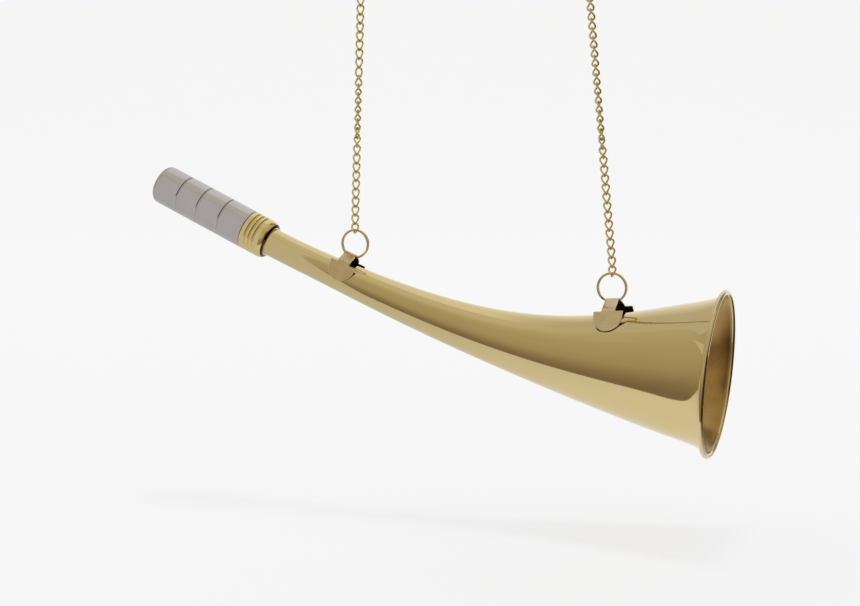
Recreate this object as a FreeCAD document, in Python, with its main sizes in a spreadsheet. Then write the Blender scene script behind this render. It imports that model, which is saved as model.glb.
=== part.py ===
import FreeCAD, Part
import math
import os
import Sketcher

# Small curved signal horn of sheet brass, hung by two chains.
# Frame: X runs from the mouthpiece (-) to the bell (+), Y is across, Z is up.
# The origin is the centre of the left hang ring, where the horn is held.
# The sheet's positions are written in the bell's own frame (its origin is the centre
# of the bell's rim), and hang_x, hang_z move every piece to the frame of the origin.

doc = FreeCAD.newDocument("signal_horn")
sheet = doc.addObject("Spreadsheet::Sheet", "dims")

V = FreeCAD.Vector
VALUES = {}
_row = [0]


def dim(name, value, note=""):
    _row[0] += 1
    sheet.set("A%d" % _row[0], name)
    sheet.set("B%d" % _row[0], repr(round(float(value), 5)))
    if note:
        sheet.set("C%d" % _row[0], note)
    sheet.setAlias("B%d" % _row[0], name)
    VALUES[name] = round(float(value), 5)


# ---- where the horn hangs ------------------------------------------------------------
dim("hang_x", -145.30, "left hang ring centre, bell frame")
dim("hang_z", 156.00, "height of both hang rings, bell frame")
dim("hang_right_x", -52.30, "right hang ring centre, bell frame")

# ---- horn tube: stations along its centre line ----------------------------------------
# x, z of the centre line, downward tilt in degrees, outer radius
STATIONS = [
    ("aa", -190.121, 47.027, 24.96, 5.760),
    ("ab", -187.428, 45.773, 24.96, 5.760),
    ("ac", -184.074, 44.212, 24.70, 5.765),
    ("ad", -176.000, 40.700, 22.90, 5.805),
    ("ae", -165.000, 36.203, 21.94, 5.996),
    ("af", -152.000, 31.034, 21.38, 6.426),
    ("ag", -138.000, 25.690, 20.31, 7.037),
    ("ah", -124.000, 20.706, 18.82, 7.824),
    ("ai", -110.000, 16.179, 16.97, 8.812),
    ("aj", -96.000, 12.185, 14.83, 10.107),
    ("ak", -82.000, 8.780, 12.47, 11.782),
    ("al", -67.000, 5.824, 9.82, 14.108),
    ("am", -53.000, 3.708, 7.40, 16.773),
    ("an", -40.000, 2.261, 5.34, 19.627),
    ("ao", -28.000, 1.322, 3.90, 22.510),
    ("ap", -17.000, 0.738, 3.00, 25.219),
    ("aq", -8.000, 0.374, 2.80, 27.419),
    ("ar", -3.200, 0.184, 3.20, 29.001),
    ("as", 0.200, -0.014, 3.95, 30.719),
]
for tag, px, pz, tilt, rad in STATIONS:
    dim("axis_x_" + tag, px)
    dim("axis_z_" + tag, pz)
    dim("axis_tilt_" + tag, tilt)
    dim("outer_rad_" + tag, rad)
dim("tube_wall", 0.5, "sheet thickness of the horn tube")
dim("rim_ring_rad", 31.30, "centre circle of the rolled rim")
dim("rim_roll_outer", 1.10, "outside radius of the rolled edge")
dim("rim_roll_inner", 0.60, "inside radius of the rolled edge")
dim("rim_wire_rad", 0.56, "radius of the wire inside the rolled edge")
dim("rim_tilt", 3.95, "how far the bell's axis points down")

# ---- mouthpiece end, along its own axis from the tip ------------------------------------
dim("neck_x", -237.11, "tip centre, bell frame")
dim("neck_z", 68.90)
dim("neck_angle", 114.96, "turns +Z onto the neck axis")
dim("shell_rad", 8.20)
dim("shell_tip_round", 2.40)
dim("shell_length", 44.70)
dim("shell_bore", 6.60)
dim("blow_rad", 2.60)
dim("blow_length", 5.00)
dim("groove_depth", 0.30)
dim("groove_half", 0.35)
dim("groove_one", 12.30)
dim("groove_two", 22.50)
dim("groove_three", 33.40)
dim("collar_start", 44.76)
dim("collar_end", 56.20)
dim("collar_rad", 8.20)
dim("collar_round", 2.30)
dim("collar_groove_rad", 7.76)
dim("collar_groove_half", 0.46)
dim("collar_groove_one", 47.20)
dim("collar_groove_two", 49.15)
dim("collar_groove_three", 51.10)
dim("collar_shoulder", 51.70)
dim("socket_rad", 6.60)
dim("tenon_rad", 6.54)
dim("tenon_start", 34.00)
dim("tenon_end", 51.20)
dim("sleeve_bore", 4.60)
dim("block_start", 35.20)
dim("block_end", 47.50)
dim("block_bore", 2.60)
dim("shallot_start", 17.00)
dim("shallot_wall", 0.60)
dim("shallot_end", 50.00)
dim("shallot_flat", 0.90, "height of the shallot's flat above its axis")
dim("tongue_length", 18.20)
dim("tongue_width", 4.00)
dim("tongue_thick", 0.25)
dim("tongue_lift", 0.45, "how far the tongue's free end stands off the flat")
dim("tongue_free_end", 17.60)
dim("wedge_thick", 0.55)

# ---- hanging gear ------------------------------------------------------------------------
dim("lug_sheet", 0.35)
dim("lug_bore", 1.20, "inside radius of the lug's fold")
dim("neck_half_top", 2.50)
dim("neck_half_low", 2.68)
dim("wing_half", 5.70)
dim("wing_side", 1.50)
dim("wing_round", 5.70)
dim("left_fold_x", -150.58, "fold centre, bell frame")
dim("left_fold_z", 40.33)
dim("left_fold_tilt", 22.00)
dim("left_shoulder_y", 5.15)
dim("left_shoulder_down", 2.70)
dim("left_wing_y", 7.05)
dim("left_wing_down", 10.20)
dim("right_fold_x", -40.75)
dim("right_fold_z", 26.05)
dim("right_fold_tilt", -4.50)
dim("right_shoulder_y", 8.30)
dim("right_shoulder_down", 2.65)
dim("right_wing_y", 13.40)
dim("right_wing_down", 9.90)
dim("ring_mean_rad", 5.60, "split ring, centre circle")
dim("ring_half_deep", 0.38, "half of a coil's radial size")
dim("ring_coil", 0.55, "one coil's axial size")
dim("left_ring_x", -148.48)
dim("left_ring_z", 45.52)
dim("right_ring_x", -41.19)
dim("right_ring_z", 31.63)
dim("link_inner", 0.95, "half of a link's clear width")
dim("link_wire", 0.33, "radius of the chain's wire")
dim("link_straight", 1.55, "straight part of a link's sides")
dim("chain_rad", 1.60, "half of the chain's width over its twisted links")
dim("hang_ring_rad", 5.00, "centre circle of a hang ring")
dim("hang_ring_wire", 0.55, "radius of a hang ring's wire")
dim("stud_rad", 2.00)
dim("stud_high", 0.80)
dim("stud_sunk", 1.00, "how far the stud's blank starts inside the tube")
dim("stud_arc", 2.90, "radius of the stud's dome")
dim("stud_x", -32.37)
dim("stud_z", -19.15)
dim("stud_turn", 199.00)

doc.recompute()
D = VALUES
MADE = []


def ex(expr):
    """Value of an expression that uses the sheet's aliases."""
    return float(value_of(expr))


def value_of(expr):
    # plain sums and products of aliases and numbers, left to right by term
    total = 0.0
    for sign, term in split_terms(expr):
        value = 1.0
        for factor in term.split("*"):
            factor = factor.strip()
            value *= D[factor[5:]] if factor.startswith("dims.") else float(factor)
        total += sign * value
    return total


def split_terms(expr):
    out = []
    sign, word = 1.0, ""
    for ch in expr:
        if ch in "+-" and word.strip():
            out.append((sign, word))
            sign, word = (1.0 if ch == "+" else -1.0), ""
        elif ch == "-" and not word.strip():
            sign = -sign
        elif ch != "+":
            word += ch
    out.append((sign, word))
    return out


def body_at(name, x_expr=None, z_expr=None, axis=None, angle_expr=None, y_expr=None):
    """A body whose origin is given in the bell's frame, moved to the hang frame."""
    body = doc.addObject("PartDesign::Body", name + "_body")
    place(body, x_expr, z_expr, axis, angle_expr, y_expr)
    return body


def place(obj, x_expr=None, z_expr=None, axis=None, angle_expr=None, y_expr=None):
    rot = FreeCAD.Rotation(axis or V(0, 0, 1), ex(angle_expr) if angle_expr else 0.0)
    xe = (x_expr + " - " if x_expr else "-") + "dims.hang_x"
    ze = (z_expr + " - " if z_expr else "-") + "dims.hang_z"
    obj.Placement = FreeCAD.Placement(V(ex(xe), ex(y_expr) if y_expr else 0.0, ex(ze)), rot)
    obj.setExpression("Placement.Base.x", xe)
    obj.setExpression("Placement.Base.z", ze)
    if y_expr:
        obj.setExpression("Placement.Base.y", y_expr)
    if angle_expr:
        obj.setExpression("Placement.Rotation.Angle", angle_expr)


def plane_of(body, role):
    for feature in body.Origin.OriginFeatures:
        if feature.Role == role:
            return feature
    raise RuntimeError("no plane " + role)


def sketch_on(body, name, role):
    sk = body.newObject("Sketcher::SketchObject", name)
    sk.AttachmentSupport = [(plane_of(body, role), "")]
    sk.MapMode = "FlatFace"
    return sk


def pin_point(sk, geo, pos, xe, ye):
    for kind, e, word in (("DistanceX", xe, "x"), ("DistanceY", ye, "y")):
        value = ex(e)
        if abs(value) < 1e-9:
            sk.addConstraint(Sketcher.Constraint("PointOnObject", geo, pos, -2 if word == "x" else -1))
        else:
            n = sk.addConstraint(Sketcher.Constraint(kind, -1, 1, geo, pos, value))
            if "dims." in e:
                sk.setExpression("Constraints[%d]" % n, e)


def outline(sk, verts, arcs=None):
    """Closed outline through verts (pairs of expressions); arcs maps an edge's index to
    the expressions of its circle's centre and radius and its sense (1 is anticlockwise)."""
    arcs = arcs or {}
    pts = [V(ex(a), ex(b), 0) for a, b in verts]
    n = len(pts)
    for i in range(n):
        p, q = pts[i], pts[(i + 1) % n]
        if i in arcs:
            cxe, cye, rade, sense = arcs[i]
            c = V(ex(cxe), ex(cye), 0)
            a0 = math.atan2(p.y - c.y, p.x - c.x)
            a1 = math.atan2(q.y - c.y, q.x - c.x)
            if sense < 0:
                a0, a1 = a1, a0
            while a1 <= a0:
                a1 += 2 * math.pi
            sk.addGeometry(Part.ArcOfCircle(Part.Circle(c, V(0, 0, 1), ex(rade)), a0, a1), False)
        else:
            sk.addGeometry(Part.LineSegment(p, q), False)
    ends = []
    for i in range(n):
        if i in arcs and arcs[i][3] < 0:
            ends.append((2, 1))
        else:
            ends.append((1, 2))
    for i in range(n):
        j = (i + 1) % n
        sk.addConstraint(Sketcher.Constraint("Coincident", i, ends[i][1], j, ends[j][0]))
    for i in range(n):
        pin_point(sk, i, ends[i][0], verts[i][0], verts[i][1])
    for i in arcs:
        if abs(arcs[i][3]) == 2:
            # a half circle: its centre's height fixes it
            k = sk.addConstraint(Sketcher.Constraint("DistanceY", -1, 1, i, 3, ex(arcs[i][1])))
            sk.setExpression("Constraints[%d]" % k, arcs[i][1])
        else:
            k = sk.addConstraint(Sketcher.Constraint("Radius", i, ex(arcs[i][2])))
            sk.setExpression("Constraints[%d]" % k, arcs[i][2])
    return sk


def turned(name, verts, arcs=None, x_expr="dims.neck_x", z_expr="dims.neck_z", angle="dims.neck_angle"):
    """A turned piece: its outline (radius, length) revolved about the body's Z axis."""
    body = body_at(name, x_expr, z_expr, V(0, 1, 0), angle)
    sk = outline(sketch_on(body, name + "_outline", "XZ_Plane"), verts, arcs)
    rev = body.newObject("PartDesign::Revolution", name + "_turned")
    rev.Profile = sk
    rev.ReferenceAxis = (sk, ["V_Axis"])
    rev.Angle = 360
    body.Tip = rev
    return body


def keep(obj, node):
    obj.Label = node
    MADE.append((node, obj))


# ---- horn tube: a conical sheet tube, rolled over a wire at the bell ---------------------
tube = body_at("horn_tube")
outer, inner = [], []


def station_circle(name, tag, rad_expr, shift=0.0):
    sk = sketch_on(tube, name, "YZ_Plane")
    tilt = math.radians(D["axis_tilt_" + tag])
    sk.AttachmentOffset = FreeCAD.Placement(
        V(0, D["axis_z_" + tag] - shift * math.sin(tilt), D["axis_x_" + tag] + shift * math.cos(tilt)),
        FreeCAD.Rotation(V(1, 0, 0), D["axis_tilt_" + tag]))
    if shift:
        sk.setExpression("AttachmentOffset.Base.y", "dims.axis_z_%s - %g * sin(dims.axis_tilt_%s * 1 deg)" % (tag, shift, tag))
        sk.setExpression("AttachmentOffset.Base.z", "dims.axis_x_%s + %g * cos(dims.axis_tilt_%s * 1 deg)" % (tag, shift, tag))
    else:
        sk.setExpression("AttachmentOffset.Base.y", "dims.axis_z_" + tag)
        sk.setExpression("AttachmentOffset.Base.z", "dims.axis_x_" + tag)
    sk.setExpression("AttachmentOffset.Rotation.Angle", "dims.axis_tilt_" + tag)
    sk.addGeometry(Part.Circle(V(0, 0, 0), V(0, 0, 1), ex(rad_expr)), False)
    sk.addConstraint(Sketcher.Constraint("Coincident", 0, 3, -1, 1))
    n = sk.addConstraint(Sketcher.Constraint("Radius", 0, ex(rad_expr)))
    sk.setExpression("Constraints[%d]" % n, rad_expr)
    return sk


for tag, *_ in STATIONS:
    outer.append(station_circle("outer_" + tag, tag, "dims.outer_rad_" + tag))
loft = tube.newObject("PartDesign::AdditiveLoft", "tube_outside")
loft.Profile = outer[0]
loft.Sections = outer[1:]
loft.Ruled = False
doc.recompute()
solid_volume = loft.Shape.Volume

first, last = STATIONS[0][0], STATIONS[-1][0]
inner.append(station_circle("inner_start", first, "dims.outer_rad_%s - dims.tube_wall" % first, -1.0))
for tag, *_ in STATIONS:
    inner.append(station_circle("inner_" + tag, tag, "dims.outer_rad_%s - dims.tube_wall" % tag))
inner.append(station_circle("inner_end", last, "dims.outer_rad_%s" % last, 1.0))
bore = tube.newObject("PartDesign::SubtractiveLoft", "tube_inside")
bore.Profile = inner[0]
bore.Sections = inner[1:]
bore.Ruled = False
doc.recompute()
assert bore.Shape.Volume < 0.3 * solid_volume, "the tube isn't hollow"

# rolled edge: a ring-shaped curl of the sheet, open where the sheet comes in
curl = sketch_on(tube, "rim_curl", "XZ_Plane")
curl.AttachmentOffset = FreeCAD.Placement(V(0, 0, 0), FreeCAD.Rotation(V(0, 0, 1), -D["rim_tilt"]))
curl.setExpression("AttachmentOffset.Rotation.Angle", "-dims.rim_tilt")
A0, A1 = math.radians(-88.0), math.radians(232.0)
ro, ri, rr = D["rim_roll_outer"], D["rim_roll_inner"], D["rim_ring_rad"]
curl.addGeometry(Part.ArcOfCircle(Part.Circle(V(0, rr, 0), V(0, 0, 1), ro), A0, A1), False)
curl.addGeometry(Part.LineSegment(V(ro * math.cos(A1), rr + ro * math.sin(A1), 0), V(ri * math.cos(A1), rr + ri * math.sin(A1), 0)), False)
curl.addGeometry(Part.ArcOfCircle(Part.Circle(V(0, rr, 0), V(0, 0, 1), ri), A0, A1), False)
curl.addGeometry(Part.LineSegment(V(ri * math.cos(A0), rr + ri * math.sin(A0), 0), V(ro * math.cos(A0), rr + ro * math.sin(A0), 0)), False)
curl.addConstraint(Sketcher.Constraint("Coincident", 0, 2, 1, 1))
curl.addConstraint(Sketcher.Constraint("Coincident", 1, 2, 2, 2))
curl.addConstraint(Sketcher.Constraint("Coincident", 2, 1, 3, 1))
curl.addConstraint(Sketcher.Constraint("Coincident", 3, 2, 0, 1))
curl.addConstraint(Sketcher.Constraint("Coincident", 0, 3, 2, 3))
curl.addConstraint(Sketcher.Constraint("PointOnObject", 0, 3, -2))
n = curl.addConstraint(Sketcher.Constraint("DistanceY", -1, 1, 0, 3, rr))
curl.setExpression("Constraints[%d]" % n, "dims.rim_ring_rad")
n = curl.addConstraint(Sketcher.Constraint("Radius", 0, ro))
curl.setExpression("Constraints[%d]" % n, "dims.rim_roll_outer")
n = curl.addConstraint(Sketcher.Constraint("Radius", 2, ri))
curl.setExpression("Constraints[%d]" % n, "dims.rim_roll_inner")
rim = tube.newObject("PartDesign::Revolution", "rim_rolled")
rim.Profile = curl
rim.ReferenceAxis = (curl, ["H_Axis"])
rim.Angle = 360
tube.Tip = rim
keep(tube, "horn_tube")

wire = doc.addObject("Part::Torus", "rim_wire_ring")
place(wire, None, None, V(0, 1, 0), "90 + dims.rim_tilt")
wire.setExpression("Radius1", "dims.rim_ring_rad")
wire.setExpression("Radius2", "dims.rim_wire_rad")
keep(wire, "rim_wire")

# ---- mouthpiece end ------------------------------------------------------------------------
# blown shell: one turned piece with a rounded tip, a blow hole and three fine grooves
g = "dims.groove_half"
deep = "dims.shell_rad - dims.groove_depth"
shell_pts = [("dims.blow_rad", "0"), ("dims.shell_rad - dims.shell_tip_round", "0"), ("dims.shell_rad", "dims.shell_tip_round")]
for mark in ("dims.groove_one", "dims.groove_two", "dims.groove_three"):
    shell_pts += [("dims.shell_rad", mark + " - " + g), (deep, mark + " - 0.12"), (deep, mark + " + 0.12"), ("dims.shell_rad", mark + " + " + g)]
shell_pts += [("dims.shell_rad", "dims.shell_length - 0.30"), ("dims.shell_rad - 0.30", "dims.shell_length"),
              ("dims.shell_bore", "dims.shell_length"), ("dims.shell_bore", "dims.blow_length + 2.0"),
              ("dims.shell_bore - 2.0", "dims.blow_length"), ("dims.blow_rad", "dims.blow_length")]
keep(turned("mouthpiece_shell", shell_pts,
            {1: ("dims.shell_rad - dims.shell_tip_round", "dims.shell_tip_round", "dims.shell_tip_round", 1)}), "mouthpiece_shell")

# socket collar: soldered on the tube's end, the mouthpiece's tenon slides into it
c = "dims.collar_groove_half"
cr = "dims.collar_rad"
collar_pts = [("dims.socket_rad", "dims.collar_start"), (cr + " - 0.25", "dims.collar_start"), (cr, "dims.collar_start + 0.25")]
for mark in ("dims.collar_groove_one", "dims.collar_groove_two", "dims.collar_groove_three"):
    collar_pts += [(cr, mark + " - " + c), ("dims.collar_groove_rad", mark + " - 0.16"), ("dims.collar_groove_rad", mark + " + 0.16"), (cr, mark + " + " + c)]
collar_pts += [(cr, "dims.collar_end - dims.collar_round"), (cr + " - dims.collar_round", "dims.collar_end"),
               ("dims.outer_rad_aa + 0.02", "dims.collar_end"), ("dims.outer_rad_aa + 0.02", "dims.collar_shoulder"),
               ("dims.socket_rad", "dims.collar_shoulder")]
k = len(collar_pts) - 5
keep(turned("socket_collar", collar_pts,
            {k: (cr + " - dims.collar_round", "dims.collar_end - dims.collar_round", "dims.collar_round", 1)}), "socket_collar")

# tenon sleeve: pressed in the shell, its front half is the tenon
keep(turned("tenon_sleeve", [
    ("dims.sleeve_bore", "dims.tenon_start"), ("dims.shell_bore", "dims.tenon_start"), ("dims.shell_bore", "dims.shell_length - 0.05"),
    ("dims.tenon_rad", "dims.shell_length - 0.05"), ("dims.tenon_rad", "dims.tenon_end - 0.40"), ("dims.tenon_rad - 0.40", "dims.tenon_end"),
    ("dims.sleeve_bore", "dims.tenon_end")]), "tenon_sleeve")

# reed block: a plug with a stepped bore that holds the shallot
keep(turned("reed_block", [
    ("dims.block_bore", "dims.block_start"), ("dims.sleeve_bore", "dims.block_start"), ("dims.sleeve_bore", "dims.block_end"),
    ("dims.block_bore", "dims.block_end")]), "reed_block")

# shallot: a closed-ended trough; the tongue beats over its open flat
shallot = turned("reed_shallot", [
    ("0", "dims.shallot_start"), ("dims.block_bore", "dims.shallot_start"), ("dims.block_bore", "dims.shallot_end"),
    ("dims.block_bore - dims.shallot_wall", "dims.shallot_end"), ("dims.block_bore - dims.shallot_wall", "dims.shallot_start + 1.2"),
    ("0", "dims.shallot_start + 1.2")])
doc.recompute()
whole = shallot.Shape.Volume
flat = outline(sketch_on(shallot, "shallot_flat_outline", "XZ_Plane"), [
    ("-3.2", "dims.shallot_start - 1.0"), ("-dims.shallot_flat", "dims.shallot_start - 1.0"),
    ("-dims.shallot_flat", "dims.block_start + 5.8"), ("-3.2", "dims.block_start + 5.8")])
cut = shallot.newObject("PartDesign::Pocket", "shallot_flat")
cut.Profile = flat
cut.Length = 12
cut.Midplane = True
shallot.Tip = cut
doc.recompute()
assert cut.Shape.Volume < whole - 20, "the shallot's flat wasn't cut"
keep(shallot, "reed_shallot")

# tongue: a thin springy strip, its root held in the block and its free end off the flat
tongue = body_at("reed_tongue", "dims.neck_x", "dims.neck_z", V(0, 1, 0), "dims.neck_angle")
ts = outline(sketch_on(tongue, "tongue_side", "XZ_Plane"), [
    ("-dims.shallot_flat - 0.12", "dims.block_start + 4.3"),
    ("-dims.shallot_flat - 0.12", "dims.block_start + 1.8"),
    ("-dims.shallot_flat - 0.12 - dims.tongue_lift", "dims.tongue_free_end"),
    ("-dims.shallot_flat - 0.12 - dims.tongue_lift - dims.tongue_thick", "dims.tongue_free_end"),
    ("-dims.shallot_flat - 0.12 - dims.tongue_thick", "dims.block_start + 1.8"),
    ("-dims.shallot_flat - 0.12 - dims.tongue_thick", "dims.block_start + 4.3")])
pad = tongue.newObject("PartDesign::Pad", "tongue_strip")
pad.Profile = ts
pad.setExpression("Length", "dims.tongue_width")
pad.Midplane = True
tongue.Tip = pad
keep(tongue, "reed_tongue")

# wedge: closes the block's bore above the tongue's root
dim("wedge_low", 1.42, "wedge's flat above the bore's axis")
dim("wedge_rad", 2.58)
dim("wedge_half", math.sqrt(2.58 ** 2 - 1.42 ** 2))
doc.recompute()
wedge = body_at("reed_wedge", "dims.neck_x", "dims.neck_z", V(0, 1, 0), "dims.neck_angle")
ws = sketch_on(wedge, "wedge_outline", "XY_Plane")
ws.AttachmentOffset = FreeCAD.Placement(V(0, 0, D["block_start"]), FreeCAD.Rotation())
ws.setExpression("AttachmentOffset.Base.z", "dims.block_start")
outline(ws, [("-dims.wedge_low", "-dims.wedge_half"), ("-dims.wedge_low", "dims.wedge_half")],
        {1: ("0", "0", "dims.wedge_rad", 1)})
pad = wedge.newObject("PartDesign::Pad", "wedge_length")
pad.Profile = ws
pad.Length = 5.6
wedge.Tip = pad
keep(wedge, "reed_wedge")

# ---- lugs: one sheet strip folded over a ring, its two wings astride the tube ------------------
envelope = doc.addObject("Part::Feature", "tube_envelope")
envelope.Shape = loft.Shape.copy()
envelope.Placement = tube.Placement


def arch_points(side):
    """Corners of the folded strip's section (y, z), from the fold's circle to the wing's foot."""
    ri = D["lug_bore"]
    t = D["lug_sheet"]
    rm = ri + t / 2
    sy, sz = D[side + "_shoulder_y"], -D[side + "_shoulder_down"]
    wy, wz = D[side + "_wing_y"], -D[side + "_wing_down"]
    dist = math.hypot(sy, sz)
    base = math.atan2(sz, sy)
    a = base + math.acos(rm / dist)
    n1 = (math.cos(a), math.sin(a))
    length = math.hypot(wy - sy, wz - sz)
    d2 = ((wy - sy) / length, (wz - sz) / length)
    n2 = (-d2[1], d2[0])
    out = {}
    for word, off in (("out", t / 2), ("in", -t / 2)):
        r = rm + off
        out["tan_" + word] = (r * n1[0], r * n1[1])
        # corner where the two offset lines meet
        c1 = r
        c2 = sy * n2[0] + sz * n2[1] + off
        det = n1[0] * n2[1] - n1[1] * n2[0]
        out["bend_" + word] = ((c1 * n2[1] - c2 * n1[1]) / det, (n1[0] * c2 - n2[0] * c1) / det)
        out["foot_" + word] = (wy + off * n2[0], wz + off * n2[1])
    return out


for side in ("left", "right"):
    pts = arch_points(side)
    for word, (py, pz) in pts.items():
        dim(side + "_" + word + "_y", py)
        dim(side + "_" + word + "_z", pz)
    doc.recompute()

    def at(word, sign, side=side):
        return (("-" if sign < 0 else "") + "dims.%s_%s_y" % (side, word), "dims.%s_%s_z" % (side, word))

    strip = body_at(side + "_lug_strip", "dims.%s_fold_x" % side, "dims.%s_fold_z" % side, V(0, 1, 0), "dims.%s_fold_tilt" % side)
    verts = [at("tan_out", -1), at("tan_out", 1)][::-1]
    # anticlockwise seen along the fold: over the outside, down the left wing, back inside
    verts = [at("tan_out", 1), at("tan_out", -1), at("bend_out", -1), at("foot_out", -1), at("foot_in", -1), at("bend_in", -1),
             at("tan_in", -1), at("tan_in", 1), at("bend_in", 1), at("foot_in", 1), at("foot_out", 1), at("bend_out", 1)]
    sk = outline(sketch_on(strip, side + "_strip_section", "YZ_Plane"), verts,
                 {0: ("0", "0", "dims.lug_bore + dims.lug_sheet", 1), 6: ("0", "0", "dims.lug_bore", -1)})
    pad = strip.newObject("PartDesign::Pad", side + "_strip")
    pad.Profile = sk
    pad.Length = 16
    pad.Midplane = True
    strip.Tip = pad

    shape = body_at(side + "_lug_shape", "dims.%s_fold_x" % side, "dims.%s_fold_z" % side, V(0, 1, 0), "dims.%s_fold_tilt" % side)
    low = "-dims.%s_shoulder_down" % side
    sk = outline(sketch_on(shape, side + "_shape_outline", "XZ_Plane"), [
        ("-dims.neck_half_top", "2.5"), ("-dims.neck_half_low", low), ("-dims.wing_half", low),
        ("-dims.wing_half", low + " - dims.wing_side"), ("dims.wing_half", low + " - dims.wing_side"),
        ("dims.wing_half", low), ("dims.neck_half_low", low), ("dims.neck_half_top", "2.5")],
        {3: ("0", low + " - dims.wing_side", "dims.wing_round", 2)})
    pad = shape.newObject("PartDesign::Pad", side + "_shape")
    pad.Profile = sk
    pad.Length = 40
    pad.Midplane = True
    shape.Tip = pad

    both = doc.addObject("Part::Common", side + "_lug_cutout")
    both.Base = strip
    both.Tool = shape
    lug = doc.addObject("Part::Cut", side + "_lug_fitted")
    lug.Base = both
    lug.Tool = envelope
    keep(lug, "lug_" + side)

# ---- split rings -----------------------------------------------------------------------------
deep, coil = "dims.ring_half_deep", "dims.ring_coil"
mean = "dims.ring_mean_rad"
for side in ("left", "right"):
    pts = [(mean + " - " + deep, coil + " - 0.12"), (mean + " - " + deep, "0.06"), (mean + " - " + deep + " + 0.06", "0"),
           (mean + " - " + deep, "-0.06"), (mean + " - " + deep, "-" + coil + " + 0.12"), (mean + " - " + deep + " + 0.12", "-" + coil),
           (mean + " + " + deep + " - 0.12", "-" + coil), (mean + " + " + deep, "-" + coil + " + 0.12"), (mean + " + " + deep, "-0.06"),
           (mean + " + " + deep + " - 0.06", "0"), (mean + " + " + deep, "0.06"), (mean + " + " + deep, coil + " - 0.12"),
           (mean + " + " + deep + " - 0.12", coil), (mean + " - " + deep + " + 0.12", coil)]
    body = body_at("split_ring_" + side, "dims.%s_ring_x" % side, "dims.%s_ring_z" % side, V(1, 0, 0), "-90")
    sk = outline(sketch_on(body, side + "_ring_section", "XZ_Plane"), pts)
    rev = body.newObject("PartDesign::Revolution", side + "_ring_turned")
    rev.Profile = sk
    rev.ReferenceAxis = (sk, ["V_Axis"])
    rev.Angle = 360
    body.Tip = rev
    keep(body, "split_ring_" + side)

# ---- end links, chains and hang rings -----------------------------------------------------------
for side, hx in (("left", "hang_x"), ("right", "hang_right_x")):
    top = D[side + "_ring_z"] + D["ring_mean_rad"]
    dim(side + "_link_z", top, "lower curve of the end link, bell frame")
    x0, z0 = D[side + "_ring_x"], top + D["link_straight"] + D["link_inner"] + 2 * D["link_wire"] - 0.25
    x1, z1 = D[hx], D["hang_z"] - D["hang_ring_rad"]
    dim(side + "_chain_x", x0)
    dim(side + "_chain_z", z0)
    dim(side + "_chain_length", math.hypot(x1 - x0, z1 - z0))
    dim(side + "_chain_lean", math.degrees(math.atan2(x1 - x0, z1 - z0)))
    doc.recompute()
    pieces = []
    for word, ydir, lift in (("low", V(0, 0, -1), "0"), ("high", V(0, 0, 1), "dims.link_straight")):
        part = doc.addObject("Part::Torus", "%s_link_%s" % (side, word))
        part.setExpression("Radius1", "dims.link_inner + dims.link_wire")
        part.setExpression("Radius2", "dims.link_wire")
        part.Angle3 = 180
        part.Placement = FreeCAD.Placement(V(x0, 0, top), FreeCAD.Rotation(V(0, 1, 0), ydir, V(0, 1, 0).cross(ydir), "XYZ"))
        part.setExpression("Placement.Base.x", "dims.%s_ring_x - dims.hang_x" % side)
        part.setExpression("Placement.Base.z", "dims.%s_link_z + %s - dims.hang_z" % (side, lift))
        pieces.append(part)
    for word, sign in (("front", "-"), ("back", "")):
        part = doc.addObject("Part::Cylinder", "%s_link_%s" % (side, word))
        part.setExpression("Radius", "dims.link_wire")
        part.setExpression("Height", "dims.link_straight")
        place(part, "dims.%s_ring_x" % side, "dims.%s_link_z" % side)
        part.setExpression("Placement.Base.y", sign + "(dims.link_inner + dims.link_wire)")
        pieces.append(part)
    link = doc.addObject("Part::MultiFuse", side + "_end_link")
    link.Shapes = pieces
    keep(link, "end_link_" + side)

    chain = doc.addObject("Part::Cylinder", side + "_chain")
    chain.setExpression("Radius", "dims.chain_rad")
    chain.setExpression("Height", "dims.%s_chain_length" % side)
    place(chain, "dims.%s_chain_x" % side, "dims.%s_chain_z" % side, V(0, 1, 0), "dims.%s_chain_lean" % side)
    keep(chain, "chain_" + side)

    ring = doc.addObject("Part::Torus", side + "_hang_ring")
    ring.setExpression("Radius1", "dims.hang_ring_rad")
    ring.setExpression("Radius2", "dims.hang_ring_wire")
    place(ring, "dims." + hx, "dims.hang_z", V(1, 0, 0), "-90")
    keep(ring, "hang_ring_" + side)

# ---- underside stud: a low dome soldered under the bell -------------------------------------------
blank = turned("underside_stud", [
    ("0", "0"), ("dims.stud_rad", "0"), ("dims.stud_rad", "dims.stud_sunk"), ("0", "dims.stud_sunk + dims.stud_high")],
    {2: ("0", "dims.stud_sunk + dims.stud_high - dims.stud_arc", "dims.stud_arc", 1)},
    "dims.stud_x", "dims.stud_z", "dims.stud_turn")
stud = doc.addObject("Part::Cut", "stud_fitted")
stud.Base = blank
stud.Tool = envelope
keep(stud, "underside_stud")

doc.recompute()

# ---- checks and export ------------------------------------------------------------------------------
bad = [o.Name for o in doc.Objects if "Invalid" in o.State or "Error" in o.State]
if bad:
    raise RuntimeError("failed objects: " + ", ".join(bad))
os.makedirs("parts", exist_ok=True)
for node, obj in MADE:
    shape = obj.Shape
    if shape.isNull() or not shape.isValid() or shape.Volume <= 0:
        raise RuntimeError("bad shape: " + node)
    box = shape.BoundBox
    print("%-18s solids %d volume %9.2f  x %.2f %.2f  y %.2f %.2f  z %.2f %.2f" % (
        node, len(shape.Solids), shape.Volume, box.XMin, box.XMax, box.YMin, box.YMax, box.ZMin, box.ZMax))
    shape.exportStep("parts/%s.step" % node)
print(len(MADE), "pieces")
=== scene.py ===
import math

import bmesh
import bpy
import numpy as np
from mathutils import Matrix, Vector


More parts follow.
